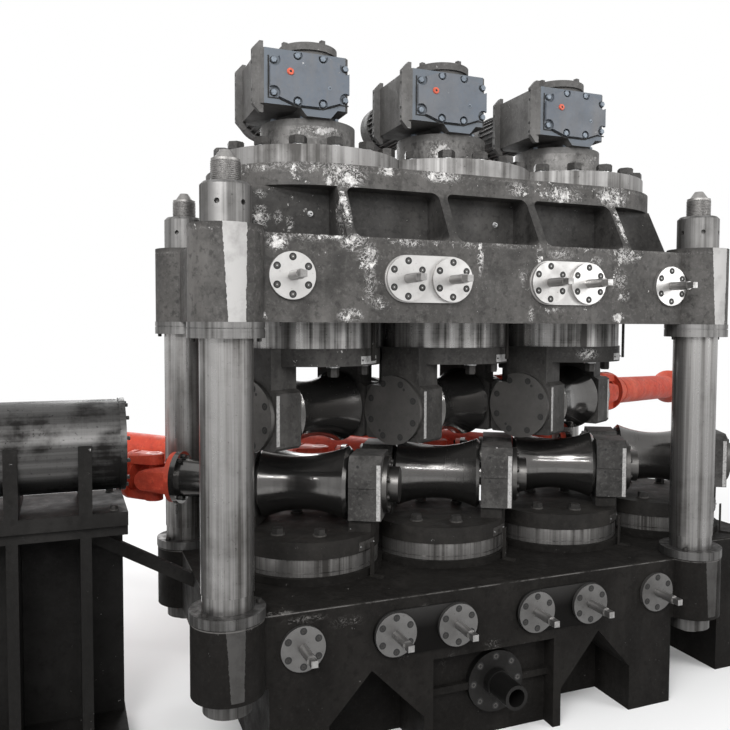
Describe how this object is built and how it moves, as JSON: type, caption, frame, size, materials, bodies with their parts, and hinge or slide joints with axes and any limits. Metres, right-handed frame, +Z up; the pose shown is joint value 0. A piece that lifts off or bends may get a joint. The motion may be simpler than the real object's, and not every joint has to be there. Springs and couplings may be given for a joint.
{
  "type": "roll straightening machine",
  "caption": "Four-column machine that straightens round tube and bar between skewed concave rolls driven through universal joint shafts, with screw-down upper heads and an entry guide",
  "frame": {"origin": "on the floor, in the middle of the four columns", "axes": "+X along the pass line towards the exit, +Y towards the back where the drive shafts lead off, +Z up"},
  "size_m": [5.0979, 2.1998, 3.026],
  "materials": {
    "casting_paint": "worn dark charcoal paint",
    "dark_paint": "dark paint, dusty",
    "dark_steel": "oiled black steel",
    "bright_steel": "machined, streaked",
    "ring_steel": "turned, dulled",
    "roll_steel": "polished",
    "gear_paint": "blue-grey paint",
    "gear_cover_paint": "blue-grey paint",
    "motor_paint": "dark blue-grey paint",
    "shaft_paint": "red-orange paint"
  },
  "bodies": {
    "frame": {"base_casting": "casting_paint", "crown_casting": "casting_paint", "tie_rods": "dark_steel", "tie_nuts": "dark_steel", "column_sleeves": "bright_steel", "column_rings": "ring_steel", "crown_covers": "bright_steel", "gear_pedestals": "bright_steel", "gear_units": "gear_paint", "gear_covers": "gear_cover_paint", "motors": "motor_paint", "adjuster_plates": "casting_paint", "adjuster_flanges": "bright_steel", "adjuster_shafts": "ring_steel", "lift_drive_flange": "dark_steel", "lift_drive_shaft": "bright_steel", "turntable_rings": "bright_steel", "turntable_plates": "dark_paint", "lower_bearing_blocks": "dark_paint", "lower_bearing_covers": "ring_steel", "pointers": "dark_steel", "entry_guide_sleeve": "ring_steel", "entry_guide_cradle": "dark_paint", "entry_stand": "dark_paint", "entry_brace": "dark_paint"},
    "upper_head_1": {"head_sleeve_1": "bright_steel", "head_yoke_1": "dark_paint", "head_covers_1": "ring_steel"},
    "upper_head_2": {"head_sleeve_2": "bright_steel", "head_yoke_2": "dark_paint", "head_covers_2": "ring_steel"},
    "upper_head_3": {"head_sleeve_3": "bright_steel", "head_yoke_3": "dark_paint", "head_covers_3": "ring_steel"},
    "lower_roll_1": {"roll_lower_1": "roll_steel", "yoke_lower_1": "shaft_paint"},
    "lower_shaft_1": {"cardan_lower_1": "shaft_paint"},
    "lower_roll_2": {"roll_lower_2": "roll_steel", "yoke_lower_2": "shaft_paint"},
    "lower_shaft_2": {"cardan_lower_2": "shaft_paint"},
    "lower_roll_3": {"roll_lower_3": "roll_steel", "yoke_lower_3": "shaft_paint"},
    "lower_shaft_3": {"cardan_lower_3": "shaft_paint"},
    "lower_roll_4": {"roll_lower_4": "roll_steel", "yoke_lower_4": "shaft_paint"},
    "lower_shaft_4": {"cardan_lower_4": "shaft_paint"},
    "upper_roll_1": {"roll_upper_1": "roll_steel", "yoke_upper_1": "shaft_paint"},
    "upper_shaft_1": {"cardan_upper_1": "shaft_paint"},
    "upper_roll_2": {"roll_upper_2": "roll_steel", "yoke_upper_2": "shaft_paint"},
    "upper_shaft_2": {"cardan_upper_2": "shaft_paint"},
    "upper_roll_3": {"roll_upper_3": "roll_steel", "yoke_upper_3": "shaft_paint"},
    "upper_shaft_3": {"cardan_upper_3": "shaft_paint"}
  },
  "joints": [
    {"name": "upper_head_1_lift", "type": "slide", "parent": "frame", "child": "upper_head_1", "axis": [0, 0, 1], "range_m": [-0.03, 0.06]},
    {"name": "upper_head_2_lift", "type": "slide", "parent": "frame", "child": "upper_head_2", "axis": [0, 0, 1], "range_m": [-0.03, 0.06]},
    {"name": "upper_head_3_lift", "type": "slide", "parent": "frame", "child": "upper_head_3", "axis": [0, 0, 1], "range_m": [-0.03, 0.06]},
    {"name": "lower_roll_1_spin", "type": "hinge", "parent": "frame", "child": "lower_roll_1", "pos_m": [-0.651, 0, 1.069], "axis": [-0.866, 0.5, 0], "continuous": true},
    {"name": "lower_shaft_1_spin", "type": "hinge", "parent": "frame", "child": "lower_shaft_1", "pos_m": [-1.29619, 0.3725, 1.069], "axis": [-0.7542, 0.6556, 0.0384], "continuous": true},
    {"name": "lower_roll_2_spin", "type": "hinge", "parent": "frame", "child": "lower_roll_2", "pos_m": [0.017, 0, 1.069], "axis": [-0.866, 0.5, 0], "continuous": true},
    {"name": "lower_shaft_2_spin", "type": "hinge", "parent": "frame", "child": "lower_shaft_2", "pos_m": [-0.50262, 0.3, 1.069], "axis": [-0.7542, 0.6556, 0.0384], "continuous": true},
    {"name": "lower_roll_3_spin", "type": "hinge", "parent": "frame", "child": "lower_roll_3", "pos_m": [0.685, 0, 1.069], "axis": [-0.866, 0.5, 0], "continuous": true},
    {"name": "lower_shaft_3_spin", "type": "hinge", "parent": "frame", "child": "lower_shaft_3", "pos_m": [0.16539, 0.3, 1.069], "axis": [-0.7542, 0.6556, 0.0384], "continuous": true},
    {"name": "lower_roll_4_spin", "type": "hinge", "parent": "frame", "child": "lower_roll_4", "pos_m": [1.353, 0, 1.069], "axis": [-0.866, 0.5, 0], "continuous": true},
    {"name": "lower_shaft_4_spin", "type": "hinge", "parent": "frame", "child": "lower_shaft_4", "pos_m": [0.83339, 0.3, 1.069], "axis": [-0.7542, 0.6556, 0.0384], "continuous": true},
    {"name": "upper_roll_1_spin", "type": "hinge", "parent": "upper_head_1", "child": "upper_roll_1", "pos_m": [-0.651, 0, 1.405], "axis": [0.866, 0.5, 0], "continuous": true},
    {"name": "upper_shaft_1_spin", "type": "hinge", "parent": "upper_head_1", "child": "upper_shaft_1", "pos_m": [-0.13139, 0.3, 1.405], "axis": [0.7542, 0.6556, -0.0384], "continuous": true},
    {"name": "upper_roll_2_spin", "type": "hinge", "parent": "upper_head_2", "child": "upper_roll_2", "pos_m": [0.017, 0, 1.405], "axis": [0.866, 0.5, 0], "continuous": true},
    {"name": "upper_shaft_2_spin", "type": "hinge", "parent": "upper_head_2", "child": "upper_shaft_2", "pos_m": [0.53661, 0.3, 1.405], "axis": [0.7542, 0.6556, -0.0384], "continuous": true},
    {"name": "upper_roll_3_spin", "type": "hinge", "parent": "upper_head_3", "child": "upper_roll_3", "pos_m": [0.685, 0, 1.405], "axis": [0.866, 0.5, 0], "continuous": true},
    {"name": "upper_shaft_3_spin", "type": "hinge", "parent": "upper_head_3", "child": "upper_shaft_3", "pos_m": [1.20461, 0.3, 1.405], "axis": [0.8654, 0.4996, -0.0384], "continuous": true}
  ],
  "couplings": [
    {"joint": "lower_shaft_1_spin", "follows": "lower_roll_1_spin", "ratio": 1},
    {"joint": "lower_shaft_2_spin", "follows": "lower_roll_2_spin", "ratio": 1},
    {"joint": "lower_shaft_3_spin", "follows": "lower_roll_3_spin", "ratio": 1},
    {"joint": "lower_shaft_4_spin", "follows": "lower_roll_4_spin", "ratio": 1},
    {"joint": "upper_shaft_1_spin", "follows": "upper_roll_1_spin", "ratio": 1},
    {"joint": "upper_shaft_2_spin", "follows": "upper_roll_2_spin", "ratio": 1},
    {"joint": "upper_shaft_3_spin", "follows": "upper_roll_3_spin", "ratio": 1}
  ]
}
